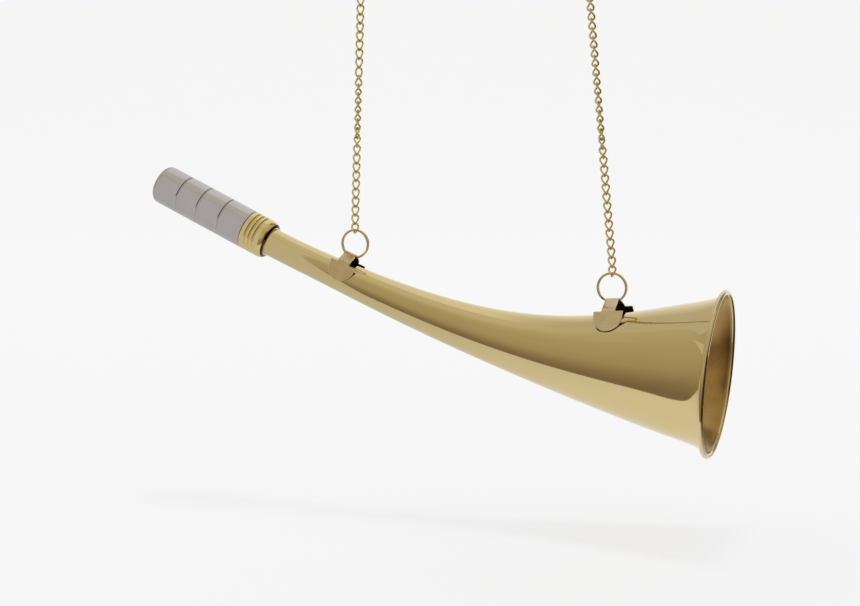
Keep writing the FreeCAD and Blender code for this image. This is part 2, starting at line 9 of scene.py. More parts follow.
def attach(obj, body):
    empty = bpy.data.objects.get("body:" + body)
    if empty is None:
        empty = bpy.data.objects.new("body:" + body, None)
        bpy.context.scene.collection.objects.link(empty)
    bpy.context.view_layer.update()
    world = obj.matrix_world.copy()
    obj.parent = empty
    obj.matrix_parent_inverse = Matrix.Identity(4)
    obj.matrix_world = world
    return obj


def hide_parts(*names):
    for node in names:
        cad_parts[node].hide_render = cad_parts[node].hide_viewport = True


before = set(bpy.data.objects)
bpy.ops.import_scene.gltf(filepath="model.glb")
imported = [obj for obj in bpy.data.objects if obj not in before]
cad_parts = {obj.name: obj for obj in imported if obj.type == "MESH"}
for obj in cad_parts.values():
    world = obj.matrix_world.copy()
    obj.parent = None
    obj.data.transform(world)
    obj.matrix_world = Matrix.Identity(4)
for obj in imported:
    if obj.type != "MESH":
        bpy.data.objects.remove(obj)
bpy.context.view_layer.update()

# ------------------------------------------------------------------ frame and units
MM = 0.001
HANG_X, HANG_Z = 145.30, -156.00       # bell frame -> hang frame, mm


def bell(x, y, z):
    """A point of the bell's frame (mm) in the row frame (m)."""
    return Vector(((x + HANG_X) * MM, y * MM, (z + HANG_Z) * MM))


# ------------------------------------------------------------------ camera
CAM_AZ, CAM_EL = math.radians(20.0), math.radians(7.0)
look = Vector((-math.sin(CAM_AZ) * math.cos(CAM_EL), math.cos(CAM_AZ) * math.cos(CAM_EL), -math.sin(CAM_EL)))
side = Vector((math.cos(CAM_AZ), math.sin(CAM_AZ), 0.0))
upward = side.cross(look)
cam_data = bpy.data.cameras.new("view_camera")
cam_data.type = "PERSP"
cam_data.sensor_fit = "HORIZONTAL"
cam_data.sensor_width = 36.0
cam_data.lens = 67.75
cam_data.clip_start, cam_data.clip_end = 0.02, 30.0
camera = bpy.data.objects.new("view_camera", cam_data)
bpy.context.scene.collection.objects.link(camera)
camera.matrix_world = Matrix((
    (side.x, upward.x, -look.x, 0.25056),
    (side.y, upward.y, -look.y, -0.60800),
    (side.z, upward.z, -look.z, -0.05404),
    (0, 0, 0, 1)))
bpy.context.scene.camera = camera
bpy.context.scene.view_settings.view_transform = "Standard"
bpy.context.scene.view_settings.look = "None"
bpy.context.scene.view_settings.exposure = 0.0
bpy.context.scene.view_settings.gamma = 1.0


# ------------------------------------------------------------------ mesh helpers
def add_object(name, verts, faces, smooth=True):
    me = bpy.data.meshes.new(name)
    me.from_pydata([tuple(v) for v in verts], [], faces)
    bm = bmesh.new()
    bm.from_mesh(me)
    bmesh.ops.remove_doubles(bm, verts=bm.verts, dist=1e-8)
    bmesh.ops.recalc_face_normals(bm, faces=bm.faces)
    bm.to_mesh(me)
    bm.free()
    for p in me.polygons:
        p.use_smooth = smooth
    me.update()
    ob = bpy.data.objects.new(name, me)
    bpy.context.scene.collection.objects.link(ob)
    return ob


def bridge_rings(rings, close_around=True, close_along=False, base=0):
    """Quads between rings of equal length; returns (verts, faces)."""
    n = len(rings[0])
    verts = [p for ring in rings for p in ring]
    faces = []
    last = len(rings) if close_along else len(rings) - 1
    for i in range(last):
        a, b = i * n, ((i + 1) % len(rings)) * n
        for j in range(n if close_around else n - 1):
            k = (j + 1) % n
            faces.append((base + a + j, base + a + k, base + b + k, base + b + j))
    return verts, faces


def lathe(name, profile, origin, axis, x_dir, count=128):
    """Revolves a closed (radius, length) outline, in mm, about an axis."""
    axis, x_dir = Vector(axis).normalized(), Vector(x_dir).normalized()
    y_dir = axis.cross(x_dir)
    rings = []
    for r, h in profile:
        c = origin + axis * (h * MM)
        r = max(r, 0.0)
        rings.append([c + (x_dir * math.cos(2 * math.pi * j / count) + y_dir * math.sin(2 * math.pi * j / count)) * (r * MM) for j in range(count)])
    verts, faces = bridge_rings(rings, True, True)
    ob = add_object(name, verts, faces)
    clean(ob)
    return ob


def clean(ob):
    bm = bmesh.new()
    bm.from_mesh(ob.data)
    bmesh.ops.remove_doubles(bm, verts=bm.verts, dist=2e-7)
    bmesh.ops.dissolve_degenerate(bm, edges=bm.edges, dist=1e-8)
    bmesh.ops.recalc_face_normals(bm, faces=bm.faces)
    bm.to_mesh(ob.data)
    bm.free()
    for p in ob.data.polygons:
        p.use_smooth = True


def apply_modifiers(ob):
    dg = bpy.context.evaluated_depsgraph_get()
    me = bpy.data.meshes.new_from_object(ob.evaluated_get(dg), depsgraph=dg)
    ob.modifiers.clear()
    old = ob.data
    ob.data = me
    bpy.data.meshes.remove(old)
    for p in ob.data.polygons:
        p.use_smooth = True


def rounded(points, sizes, steps=5):
    """A closed outline whose corners are rounded: sizes[i] is corner i's radius, 0 leaves it sharp."""
    n = len(points)
    out = []
    for i in range(n):
        p0, p1, p2 = (Vector(points[i - 1]), Vector(points[i]), Vector(points[(i + 1) % n]))
        r = sizes[i]
        a, b = (p0 - p1), (p2 - p1)
        if r <= 0 or a.length < 1e-9 or b.length < 1e-9:
            out.append(tuple(p1))
            continue
        la, lb = a.length, b.length
        a.normalize()
        b.normalize()
        cosang = max(-1.0, min(1.0, a.dot(b)))
        ang = math.acos(cosang)
        if ang > math.pi - 0.03:
            out.append(tuple(p1))
            continue
        t = min(r / math.tan(ang / 2), 0.49 * la, 0.49 * lb)
        r = t * math.tan(ang / 2)
        centre = p1 + (a + b).normalized() * (r / math.sin(ang / 2))
        s, e = p1 + a * t - centre, p1 + b * t - centre
        a0, a1 = math.atan2(s.y, s.x), math.atan2(e.y, e.x)
        d = (a1 - a0 + math.pi) % (2 * math.pi) - math.pi
        for k in range(steps + 1):
            w = a0 + d * k / steps
            out.append((centre.x + r * math.cos(w), centre.y + r * math.sin(w)))
    return out


def densify(points, longest):
    """Splits long sides of a closed outline so that the lathed quads aren't slivers."""
    out = []
    n = len(points)
    for i in range(n):
        a, b = Vector(points[i]), Vector(points[(i + 1) % n])
        k = max(1, int(math.ceil((b - a).length / longest)))
        for j in range(k):
            out.append(tuple(a + (b - a) * (j / k)))
    return out


def tube_along(points, section, ups=None, closed=False):
    """Sweeps a section (list of (side, up)) along points (m). ups gives the up vector at each point."""
    n = len(points)
    rings = []
    for i in range(n):
        if closed:
            t = (points[(i + 1) % n] - points[i - 1]).normalized()
        else:
            t = (points[min(i + 1, n - 1)] - points[max(i - 1, 0)]).normalized()
        up = ups[i] if ups else Vector((0, 1, 0))
        s = t.cross(up)
        if s.length < 1e-6:
            s = t.cross(Vector((1, 0, 0)))
        s.normalize()
        u = s.cross(t).normalized()
        rings.append([points[i] + s * (a * MM) + u * (b * MM) for a, b in section])
    verts, faces = bridge_rings(rings, True, closed)
    if not closed:
        k = len(section)
        faces.append(tuple(range(k - 1, -1, -1)))
        faces.append(tuple((n - 1) * k + j for j in range(k)))
    return verts, faces


def circle_section(r, n=12):
    return [(r * math.cos(2 * math.pi * i / n), r * math.sin(2 * math.pi * i / n)) for i in range(n)]


# ------------------------------------------------------------------ materials
def new_material(name):
    m = bpy.data.materials.new(name)
    m.use_nodes = True
    nt = m.node_tree
    nt.nodes.clear()
    out = nt.nodes.new("ShaderNodeOutputMaterial")
    bsdf = nt.nodes.new("ShaderNodeBsdfPrincipled")
    nt.links.new(bsdf.outputs["BSDF"], out.inputs["Surface"])
    return m, nt, bsdf


def ramp(nt, stops, interp="LINEAR"):
    r = nt.nodes.new("ShaderNodeValToRGB")
    r.color_ramp.interpolation = interp
    while len(r.color_ramp.elements) < len(stops):
        r.color_ramp.elements.new(0.5)
    for e, (pos, col) in zip(r.color_ramp.elements, stops):
        e.position = pos
        e.color = (*col, 1.0) if len(col) == 3 else col
    return r


def metal(name, base, deep, rough_low, rough_high, grain=900.0, patch=45.0, bump=0.02, bump_scale=1600.0,
          streak=None, edge=None, specular_tint=None):
    """A polished metal: slow colour drift, fine polishing grain in the roughness and a very fine bump."""
    m, nt, bsdf = new_material(name)
    L = nt.links
    co = nt.nodes.new("ShaderNodeTexCoord")
    big = nt.nodes.new("ShaderNodeTexNoise")
    big.inputs["Scale"].default_value = patch
    big.inputs["Detail"].default_value = 3.0
    big.inputs["Roughness"].default_value = 0.55
    L.new(co.outputs["Object"], big.inputs["Vector"])
    col = ramp(nt, [(0.30, deep), (0.72, base)])
    L.new(big.outputs["Fac"], col.inputs["Fac"])
    L.new(col.outputs["Color"], bsdf.inputs["Base Color"])
    fine = nt.nodes.new("ShaderNodeTexNoise")
    fine.inputs["Scale"].default_value = grain
    fine.inputs["Detail"].default_value = 4.0
    fine.inputs["Roughness"].default_value = 0.65
    mapping = nt.nodes.new("ShaderNodeMapping")
    if streak:
        mapping.inputs["Scale"].default_value = streak
    L.new(co.outputs["Object"], mapping.inputs["Vector"])
    L.new(mapping.outputs["Vector"], fine.inputs["Vector"])
    spread = nt.nodes.new("ShaderNodeMapRange")
    spread.inputs["From Min"].default_value = 0.30
    spread.inputs["From Max"].default_value = 0.75
    spread.inputs["To Min"].default_value = rough_low
    spread.inputs["To Max"].default_value = rough_high
    L.new(fine.outputs["Fac"], spread.inputs["Value"])
    L.new(spread.outputs["Result"], bsdf.inputs["Roughness"])
    if bump:
        b = nt.nodes.new("ShaderNodeBump")
        b.inputs["Strength"].default_value = bump
        b.inputs["Distance"].default_value = 0.00004
        grit = nt.nodes.new("ShaderNodeTexNoise")
        grit.inputs["Scale"].default_value = bump_scale
        grit.inputs["Detail"].default_value = 2.0
        L.new(mapping.outputs["Vector"], grit.inputs["Vector"])
        L.new(grit.outputs["Fac"], b.inputs["Height"])
        L.new(b.outputs["Normal"], bsdf.inputs["Normal"])
    bsdf.inputs["Metallic"].default_value = 1.0
    return m


BRASS = (0.690, 0.545, 0.275)
BRASS_DEEP = (0.664, 0.520, 0.250)
tube_brass = metal("tube_brass", BRASS, BRASS_DEEP, 0.045, 0.085, patch=30.0, bump=0.012)
inside_brass = metal("bell_inside_brass", (0.55, 0.34, 0.125), (0.39, 0.225, 0.075), 0.18, 0.32, grain=2200.0, patch=90.0, bump=0.35, bump_scale=2600.0)
turned_brass = metal("turned_brass", (0.76, 0.59, 0.29), (0.73, 0.56, 0.25), 0.05, 0.11, patch=120.0, bump=0.02)
nickel = metal("nickel_plate", (0.530, 0.490, 0.475), (0.510, 0.470, 0.455), 0.15, 0.24, patch=140.0, bump=0.04)
sheet_brass = metal("lug_sheet_brass", (0.71, 0.56, 0.34), (0.64, 0.48, 0.28), 0.14, 0.26, patch=260.0, bump=0.05)
ring_brass = metal("ring_brass", (0.83, 0.655, 0.33), (0.72, 0.53, 0.23), 0.08, 0.16, patch=380.0, bump=0.03)
chain_brass = metal("chain_brass", (0.84, 0.68, 0.30), (0.76, 0.58, 0.21), 0.12, 0.22, patch=420.0, bump=0.05)
bronze = metal("reed_bronze", (0.72, 0.46, 0.25), (0.64, 0.38, 0.18), 0.16, 0.30, patch=300.0, bump=0.05)
steel = metal("wire_steel", (0.55, 0.55, 0.56), (0.46, 0.46, 0.48), 0.22, 0.36, patch=300.0, bump=0.05)
# painted shade: a near-black sheet for the lugs' inner faces and the wings' lower edge faces, standing in for the shade
# inside the fold and the shadow gap along the tube
lug_painted_shade = metal("lug_inside_painted_shade", (0.020, 0.010, 0.008), (0.008, 0.005, 0.005), 0.40, 0.6, patch=700.0, bump=0.2)
# painted dark reflection: a near-black glossy band on the collar's rounded end stands in for the dark surroundings that
# the rounding reflects
collar_dark_reflection_paint = metal("collar_painted_dark_reflection", (0.075, 0.048, 0.030), (0.030, 0.020, 0.015), 0.08, 0.16, patch=260.0, bump=0.03)
lug_painted_shade.node_tree.nodes["Principled BSDF"].inputs["Metallic"].default_value = 0.35


def finish_piece(ob, body, slot, nodes, *mats):
    for m in mats:
        ob.data.materials.append(m)
    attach(ob, body)
    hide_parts(*nodes)
    return ob


# ------------------------------------------------------------------ horn tube
STATIONS = [
    (-190.121, 47.027, 24.96, 5.760), (-187.428, 45.773, 24.96, 5.760), (-184.074, 44.212, 24.70, 5.765),
    (-176.000, 40.700, 22.90, 5.805), (-165.000, 36.203, 21.94, 5.996), (-152.000, 31.034, 21.38, 6.426),
    (-138.000, 25.690, 20.31, 7.037), (-124.000, 20.706, 18.82, 7.824), (-110.000, 16.179, 16.97, 8.812),
    (-96.000, 12.185, 14.83, 10.107), (-82.000, 8.780, 12.47, 11.782), (-67.000, 5.824, 9.82, 14.108),
    (-53.000, 3.708, 7.40, 16.773), (-40.000, 2.261, 5.34, 19.627), (-28.000, 1.322, 3.90, 22.510),
    (-17.000, 0.738, 3.00, 25.219), (-8.000, 0.374, 2.80, 27.419), (-3.200, 0.184, 3.20, 29.001), (0.200, -0.014, 3.95, 30.719)]
TUBE_WALL = 0.5
RIM_RAD, ROLL_OUT, ROLL_IN, RIM_TILT = 31.30, 1.10, 0.60, math.radians(3.95)


def cubic(xs, ys):
    """Natural cubic spline through the stations: returns a function."""
    xs, ys = np.array(xs, float), np.array(ys, float)
    n = len(xs)
    h = np.diff(xs)
    A, B = np.zeros((n, n)), np.zeros(n)
    A[0, 0] = A[-1, -1] = 1.0
    for i in range(1, n - 1):
        A[i, i - 1], A[i, i], A[i, i + 1] = h[i - 1], 2 * (h[i - 1] + h[i]), h[i]
        B[i] = 6 * ((ys[i + 1] - ys[i]) / h[i] - (ys[i] - ys[i - 1]) / h[i - 1])
    M = np.linalg.solve(A, B)

    def f(x):
        i = int(min(max(np.searchsorted(xs, x) - 1, 0), n - 2))
        a, b = xs[i + 1] - x, x - xs[i]
        return float(M[i] * a ** 3 / (6 * h[i]) + M[i + 1] * b ** 3 / (6 * h[i])
                     + (ys[i] / h[i] - M[i] * h[i] / 6) * a + (ys[i + 1] / h[i] - M[i + 1] * h[i] / 6) * b)
    return f


steps = [0.0]
for p, q in zip(STATIONS, STATIONS[1:]):
    steps.append(steps[-1] + math.hypot(q[0] - p[0], q[1] - p[1]))
axis_x, axis_z, axis_tilt, axis_rad = (cubic(steps, [s[k] for s in STATIONS]) for k in range(4))
TUBE_LONG = steps[-1]


def tube_ring(s, radius, count):
    t = math.radians(axis_tilt(s))
    c = bell(axis_x(s), 0, axis_z(s))
    up, lat = Vector((math.sin(t), 0, math.cos(t))), Vector((0, 1, 0))
    return [c + (up * math.cos(2 * math.pi * j / count) + lat * math.sin(2 * math.pi * j / count)) * (radius * MM) for j in range(count)]


def roll_ring(ax, rad, count):
    c = bell(ax * math.cos(RIM_TILT), 0, -ax * math.sin(RIM_TILT))
    up, lat = Vector((math.sin(RIM_TILT), 0, math.cos(RIM_TILT))), Vector((0, 1, 0))
    return [c + (up * math.cos(2 * math.pi * j / count) + lat * math.sin(2 * math.pi * j / count)) * (rad * MM) for j in range(count)]


AROUND = 176
along = [TUBE_LONG * i / 150 for i in range(146)] + [TUBE_LONG - d for d in (5.4, 4.4, 3.5, 2.6, 1.9, 1.2, 0.6)]
along = sorted(set(round(s, 4) for s in along))
rings = [tube_ring(s, axis_rad(s), AROUND) for s in along]
n_outside = len(rings)
A0, A1 = math.radians(-82.0), math.radians(232.0)
for i in range(33):
    a = A0 + (A1 - A0) * i / 32
    rings.append(roll_ring(ROLL_IN * math.cos(a), RIM_RAD + ROLL_IN * math.sin(a), AROUND))
A0 = math.radians(-88.0)
for i in range(49):
    a = A1 + (A0 - A1) * i / 48
    rings.append(roll_ring(ROLL_OUT * math.cos(a), RIM_RAD + ROLL_OUT * math.sin(a), AROUND))
n_roll = len(rings)
for s in reversed(along[:-1]):
    rings.append(tube_ring(s, axis_rad(s) - TUBE_WALL, AROUND))
verts, faces = bridge_rings(rings, True, True)
horn = add_object("horn_tube_skin", verts, faces)
horn.data.materials.append(tube_brass)
horn.data.materials.append(inside_brass)
ring_of = {}
inner_from = n_roll - 1
for p in horn.data.polygons:
    i = min(v // AROUND for v in p.vertices)
    j = max(v // AROUND for v in p.vertices)
    if i >= inner_from and j < len(rings):
        p.material_index = 1
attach(horn, "horn")
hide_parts("horn_tube")

# ------------------------------------------------------------------ mouthpiece end
NECK = bell(-237.11, 0, 68.90)
na = math.radians(114.96)
NECK_AXIS = Vector((math.sin(na), 0, math.cos(na)))
NECK_X = Vector((math.cos(na), 0, -math.sin(na)))


def groove(at, top, bottom, half, flat):
    return [(top, at - half), (bottom, at - flat), (bottom, at + flat), (top, at + half)]


# blown shell
pts, sizes = [(2.60, 0.0), (8.20, 0.0)], [0.45, 2.40]
for at in (12.30, 22.50, 33.40):
    pts += groove(at, 8.20, 7.86, 0.44, 0.14)
    sizes += [0.10, 0.05, 0.05, 0.10]
pts += [(8.20, 44.70), (6.60, 44.70), (6.60, 5.00), (2.60, 5.00)]
sizes += [0.30, 0.10, 1.6, 0.25]
shell = lathe("mouthpiece_shell_skin", densify(rounded(pts, sizes, 8), 1.2), NECK, NECK_AXIS, NECK_X, 128)
finish_piece(shell, "mouthpiece", "nickel_plate", ["mouthpiece_shell"], nickel)

# socket collar
pts, sizes = [(6.60, 44.76), (8.20, 44.76)], [0.10, 0.35]
for at in (47.20, 49.15, 51.10):
    pts += groove(at, 8.20, 7.76, 0.46, 0.12)
    sizes += [0.42, 0.10, 0.10, 0.42]
for w in range(0, 91, 6):
    pts.append((5.90 + 2.30 * math.cos(math.radians(w)), 53.05 + 3.15 * math.sin(math.radians(w))))
    sizes.append(0.0)
pts += [(5.78, 56.20), (5.78, 51.70), (6.60, 51.70)]
sizes += [0.0, 0.0, 0.0]
collar = lathe("socket_collar_skin", densify(rounded(pts, sizes, 9), 0.9), NECK, NECK_AXIS, NECK_X, 128)
finish_piece(collar, "horn", "turned_brass", ["socket_collar"], turned_brass, collar_dark_reflection_paint)
# the rounded end's band between these radii gets the painted dark reflection
for p in collar.data.polygons:
    d = p.center - NECK
    far = d.dot(NECK_AXIS) / MM
    out = (d - NECK_AXIS * (far * MM)).length / MM
    if far > 54.0 and 6.40 < out < 7.40:
        p.material_index = 1

# tenon sleeve
pts = [(4.60, 34.00), (6.60, 34.00), (6.60, 44.65), (6.54, 44.65), (6.54, 51.20), (4.60, 51.20)]
sizes = [0.15, 0.15, 0.0, 0.0, 0.40, 0.15]
sleeve = lathe("tenon_sleeve_skin", densify(rounded(pts, sizes, 4), 1.2), NECK, NECK_AXIS, NECK_X, 96)
finish_piece(sleeve, "mouthpiece", "turned_brass", ["tenon_sleeve"], turned_brass)

# ------------------------------------------------------------------ lugs
SHEET, BORE = 0.35, 1.20
NECK_TOP, NECK_LOW, WING, WING_SIDE = 2.50, 2.68, 5.70, 1.50
dense = [TUBE_LONG * i / 800 for i in range(801)]
centre_line = np.array([[axis_x(s), axis_z(s), axis_rad(s), math.radians(axis_tilt(s))] for s in dense])


def clear_of_tube(x, y, z, gap):
    """Pushes a bell-frame point (mm) out so that it is gap off the tube's outside."""
    d = (x - centre_line[:, 0]) ** 2 + (z - centre_line[:, 1]) ** 2
    i = int(np.argmin(d))
    cx, cz, r, t = centre_line[i]
    up = Vector((math.sin(t), 0, math.cos(t)))
    v = Vector((x - cx, y, z - cz))
    u, w = v.dot(up), v.y
    rad = math.hypot(u, w)
    if rad >= r + gap or rad < 1e-6:
        return x, y, z
    k = (r + gap) / rad
    return x + up.x * u * (k - 1), y * k, z + up.z * u * (k - 1)


def make_lug(name, fold_x, fold_z, tilt, sy, sd, wy, wd):
    rm, turn_r = BORE + SHEET / 2, 2.8
    tl = math.radians(tilt)
    # the wing's line, and the corner above its top where the neck meets it
    length = math.hypot(wy - sy, wd - sd)
    d2 = Vector(((wy - sy) / length, -(wd - sd) / length))
    turn = 0.6
    for _ in range(6):
        corner = Vector((sy, -sd)) - d2 * (turn_r * math.tan(turn / 2))
        dist, base = corner.length, math.atan2(corner.y, corner.x)
        a = base + math.acos(rm / dist)
        d1 = Vector((math.sin(a), -math.cos(a)))
        turn = math.acos(max(-1, min(1, d1.dot(d2))))
    tangent = Vector((rm * math.cos(a), rm * math.sin(a)))
    start = corner - d1 * (turn_r * math.tan(turn / 2))
    mid = []
    k = 9
    for i in range(k):
        w = math.pi / 2 + (a - math.pi / 2) * i / k
        mid.append((rm * math.cos(w), rm * math.sin(w), math.cos(w), math.sin(w)))
    n1 = Vector((math.cos(a), math.sin(a)))
    for i in range(6):
        p = tangent.lerp(start, i / 6)
        mid.append((p.x, p.y, n1.x, n1.y))
    n2 = Vector((-d2.y, d2.x))
    centre = start - n1 * turn_r
    for i in range(10):
        w = i / 10
        n = (n1 * (1 - w) + n2 * w).normalized()
        p = centre + n * turn_r
        mid.append((p.x, p.y, n.x, n.y))
    neck_rows = len(mid)
    zs = [-sd - WING_SIDE * i / 4 for i in range(5)]
    zs += [-sd - WING_SIDE - WING * math.sin(math.radians(w)) for w in (7, 14, 21, 28, 35, 42, 49, 56, 63, 69, 75, 81)]
    for z in zs:
        q = (-sd - z) / -d2.y
        mid.append((sy + d2.x * q, z, n2.x, n2.y))

    def half_at(z, wing):
        if not wing:
            return NECK_LOW + (NECK_TOP - NECK_LOW) * min(1.0, (z + sd) / (2.5 + sd))
        if z >= -sd - WING_SIDE:
            return WING
        return math.sqrt(max(0.0, WING ** 2 - (z + sd + WING_SIDE) ** 2))

    inner = 8           # columns across the neck
    ear = 6             # columns on each ear
    cols_n = [-1 + 2 * i / inner for i in range(inner + 1)]
    vmap, verts, faces = {}, [], []

    def vert(row, col, layer, x, y, z, off):
        key = (row, col, layer)
        if key not in vmap:
            c, s = math.cos(tl), math.sin(tl)
            bx, by, bz = fold_x + x * c + z * s, y, fold_z - x * s + z * c
            if abs(row) >= neck_rows - 4:
                bx, by, bz = clear_of_tube(bx, by, bz, 0.03 if layer == 0 else 0.03 + SHEET)
            vmap[key] = len(verts)
            verts.append(bell(bx, by, bz))
        return vmap[key]

    def row_points(row):
        i = abs(row)
        sgn = 1 if row >= 0 else -1
        y, z, ny, nz = mid[i]
        wing = i >= neck_rows
        if wing:
            w = half_at(z, True)
            inner_w = NECK_LOW * w / WING
            xs = [(c, inner_w * cols_n[c]) for c in range(inner + 1)]
            xs += [(inner + k + 1, inner_w + (w - inner_w) * (k + 1) / ear) for k in range(ear)]
            xs += [(-k - 1, -inner_w - (w - inner_w) * (k + 1) / ear) for k in range(ear)]
        else:
            w = half_at(z, False)
            xs = [(c, w * cols_n[c]) for c in range(inner + 1)]
        return sgn, y, z, ny, nz, sorted(xs)

    total = len(mid)
    rows = list(range(-(total - 1), total))
    table = {}
    for r in rows:
        sgn, y, z, ny, nz, xs = row_points(r)
        for c, x in xs:
            for layer, off in ((0, -SHEET / 2), (1, SHEET / 2)):
                table[(r, c, layer)] = vert(r, c, layer, x, sgn * (y + ny * off), z + nz * off, off)
    cells = set()
    for r in rows[:-1]:
        q = r + 1
        for c in range(-ear, inner + ear):
            if all((rr, cc, 0) in table for rr in (r, q) for cc in (c, c + 1)):
                # the ears exist only between two wing rows
                if (c < 0 or c >= inner) and (abs(r) < neck_rows or abs(q) < neck_rows):
                    continue
                cells.add((r, c))
    # faces that take the painted shade: the sheet's inner layer, and further down the wing's edge faces
    painted_shade_faces = []
    for r, c in cells:
        q = r + 1
        o = [table[(r, c, 1)], table[(r, c + 1, 1)], table[(q, c + 1, 1)], table[(q, c, 1)]]
        n = [table[(r, c, 0)], table[(q, c, 0)], table[(q, c + 1, 0)], table[(r, c + 1, 0)]]
        faces.append(tuple(o))
        faces.append(tuple(n))
        painted_shade_faces.append(len(faces) - 1)
        for (a1, a2, nb) in (((r, c), (r, c + 1), (r - 1, c)), ((q, c + 1), (q, c), (r + 1, c)),
                             ((q, c), (r, c), (r, c - 1)), ((r, c + 1), (q, c + 1), (r, c + 1))):
            if nb not in cells:
                faces.append((table[(*a1, 0)], table[(*a2, 0)], table[(*a2, 1)], table[(*a1, 1)]))
                # the wing's lower edge faces get the painted shadow gap
                if abs(r) >= neck_rows + 4:
                    painted_shade_faces.append(len(faces) - 1)
    me = bpy.data.meshes.new(name)
    me.from_pydata([tuple(v) for v in verts], [], faces)
    painted_shade_marks = set(painted_shade_faces)
    for i, p in enumerate(me.polygons):
        p.material_index = 1 if i in painted_shade_marks else 0
    bm = bmesh.new()
    bm.from_mesh(me)
    bmesh.ops.recalc_face_normals(bm, faces=bm.faces)
    sharp = [e for e in bm.edges if len(e.link_faces) == 2 and e.calc_face_angle(0) > math.radians(50)]
    bmesh.ops.bevel(bm, geom=sharp, offset=0.07 * MM, segments=2, profile=0.5, affect="EDGES", clamp_overlap=True)
    bmesh.ops.remove_doubles(bm, verts=bm.verts, dist=1e-7)
    bmesh.ops.recalc_face_normals(bm, faces=bm.faces)
    bm.to_mesh(me)
    bm.free()
    for p in me.polygons:
        p.use_smooth = True
    me.update()
    ob = bpy.data.objects.new(name, me)
    bpy.context.scene.collection.objects.link(ob)
    return ob


lug_left = make_lug("lug_left_skin", -150.58, 40.33, 22.0, 5.15, 2.70, 7.05, 10.20)
finish_piece(lug_left, "horn", "tube_brass", ["lug_left"], sheet_brass, lug_painted_shade)
lug_right = make_lug("lug_right_skin", -40.75, 26.05, -4.5, 8.30, 2.65, 13.40, 9.90)
finish_piece(lug_right, "horn", "tube_brass", ["lug_right"], sheet_brass, lug_painted_shade)


# ------------------------------------------------------------------ split rings
def make_split_ring(name, cx, cz, step_deg):
    mean, deep, coil = 5.60, 0.44, 0.55
    centre = bell(cx, 0, cz)
    pts, ups = [], []
    mid, half_step, end_gap = math.radians(step_deg), math.radians(13), math.radians(17)
    first, last = mid - 2 * math.pi + end_gap, mid + 2 * math.pi - end_gap
    n = 230
    for i in range(n + 1):
        w = first + (last - first) * i / n
        t = (w - mid) / half_step
        t = max(-1.0, min(1.0, t))
        y = math.sin(t * math.pi / 2) * (coil / 2)
        pts.append(centre + Vector((math.cos(w) * mean, y, math.sin(w) * mean)) * MM)
        ups.append(Vector((0, 1, 0)))
    a, b, r = deep, coil / 2 - 0.012, 0.13
    section = rounded([(a, b), (-a, b), (-a, -b), (a, -b)], [r] * 4, 4)
    verts, faces = tube_along(pts, section, ups)
    ob = add_object(name, verts, faces)
    bm = bmesh.new()
    bm.from_mesh(ob.data)
    ends = [f for f in bm.faces if len(f.verts) > 4]
    edges = {e for f in ends for e in f.edges}
    bmesh.ops.bevel(bm, geom=list(edges), offset=0.06 * MM, segments=2, profile=0.5, affect="EDGES", clamp_overlap=True)
    bm.to_mesh(ob.data)
    bm.free()
    for p in ob.data.polygons:
        p.use_smooth = True
    return ob


ring_left = make_split_ring("split_ring_left_skin", -148.48, 45.52, 322.0)
finish_piece(ring_left, "ring_left", "ring_brass", ["split_ring_left"], ring_brass)
ring_right = make_split_ring("split_ring_right_skin", -41.19, 31.63, 226.0)
finish_piece(ring_right, "ring_right", "ring_brass", ["split_ring_right"], ring_brass)

# ------------------------------------------------------------------ chains
WIRE = 0.38
LINK_HALF_W = 1.28


def spline_points(name, route):
    """Points of the route's own smooth line."""
    cu = bpy.data.curves.new(name, "CURVE")
    cu.dimensions = "3D"
    cu.resolution_u = 24
    sp = cu.splines.new("NURBS")
    sp.points.add(len(route) - 1)
    for p, co in zip(sp.points, route):
        p.co = (*co, 1.0)
    sp.order_u = 3
    sp.use_endpoint_u = True
    ob = bpy.data.objects.new(name, cu)
    bpy.context.scene.collection.objects.link(ob)
    dg = bpy.context.evaluated_depsgraph_get()
    me = bpy.data.meshes.new_from_object(ob.evaluated_get(dg), depsgraph=dg)
    pts = [Vector(v.co) for v in me.vertices]
    bpy.data.objects.remove(ob)
    bpy.data.meshes.remove(me)
    return pts


def link_ring(half_long, half_wide, twist_deg, turn0, origin, along_dir, x_ref, y_ref, wire=WIRE, seg=44, around=10):
    """One twisted link: bottom bend in the plane of turn0, top bend a quarter turn further."""
    pts, ups = [], []
    straight = half_long - half_wide
    quarter = math.pi * half_wide / 2
    per = 4 * quarter + 4 * straight
    for i in range(seg):
        s = per * i / seg
        # planar oval: u across, v along
        if s < quarter:
            w = s / half_wide
            u, v = half_wide * math.cos(w), straight + half_wide * math.sin(w)
        elif s < 2 * quarter:
            w = s / half_wide
            u, v = half_wide * math.cos(w), straight + half_wide * math.sin(w)
        elif s < 2 * quarter + 2 * straight:
            u, v = -half_wide, straight - (s - 2 * quarter)
        elif s < 4 * quarter + 2 * straight:
            w = (s - 2 * straight) / half_wide
            u, v = half_wide * math.cos(w), -straight + half_wide * math.sin(w)
        else:
            u, v = half_wide, -straight + (s - 4 * quarter - 2 * straight)
        f = (v + half_long) / (2 * half_long)
        f = min(1.0, max(0.0, (f - 0.10) / 0.80))
        f = f * f * (3 - 2 * f)
        w = turn0 + math.radians(twist_deg) * f
        side_dir = x_ref * math.cos(w) + y_ref * math.sin(w)
        pts.append(origin + side_dir * (u * MM) + along_dir * (v * MM))
        ups.append((x_ref * -math.sin(w) + y_ref * math.cos(w)))
    return tube_along(pts, circle_section(wire, around), ups, True)


